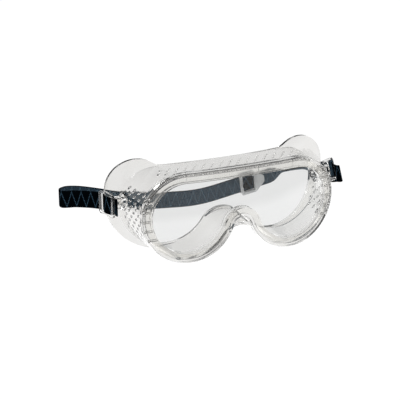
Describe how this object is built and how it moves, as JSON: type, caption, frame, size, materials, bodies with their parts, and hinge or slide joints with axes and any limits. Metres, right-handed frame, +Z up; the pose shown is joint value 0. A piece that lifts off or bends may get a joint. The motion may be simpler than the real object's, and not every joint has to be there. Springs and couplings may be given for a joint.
{
  "type": "safety goggles",
  "caption": "Clear vented safety goggles: a bent lens in a soft frame with a flared face flange, and an elastic headband on pivoting side clips with a sliding adjuster.",
  "frame": {"origin": "on the resting surface under the middle of the whole object at rest, headband included", "axes": "+X to the right seen from the front of the lens, +Y back towards the wearer's head, +Z up"},
  "size_m": [0.2406, 0.0896, 0.0726],
  "materials": {
    "clear_soft_frame": "clear soft vinyl, faintly warm, glossy with a waxy sheen",
    "clear_lens": "clear polycarbonate sheet, polished",
    "clear_clip": "clear hard moulded plastic, glossy",
    "elastic_band": "woven elastic, near black, with pale blue zigzag threads",
    "clear_slider": "clear hard moulded plastic, glossy"
  },
  "bodies": {
    "goggles": {"goggle_frame": "clear_soft_frame", "lens": "clear_lens"},
    "headband": {"strap_clip_left": "clear_clip", "strap_clip_right": "clear_clip", "strap_side_left": "elastic_band", "strap_side_right": "elastic_band"},
    "band_back": {"strap_back": "elastic_band"},
    "slider": {"strap_slider": "clear_slider"}
  },
  "joints": [
    {"name": "headband_swing", "type": "hinge", "parent": "goggles", "child": "headband", "pos_m": [0, -0.00481, 0.042], "axis": [1, 0, 0], "range_deg": [-8, 80]},
    {"name": "strap_stretch", "type": "slide", "parent": "headband", "child": "band_back", "axis": [0, 1, 0], "range_m": [0, 0.04], "stiffness_N_per_m": 60},
    {"name": "slider_slide", "type": "slide", "parent": "band_back", "child": "slider", "axis": [0.9874, 0, 0.158], "range_m": [-0.018, 0.004]}
  ]
}
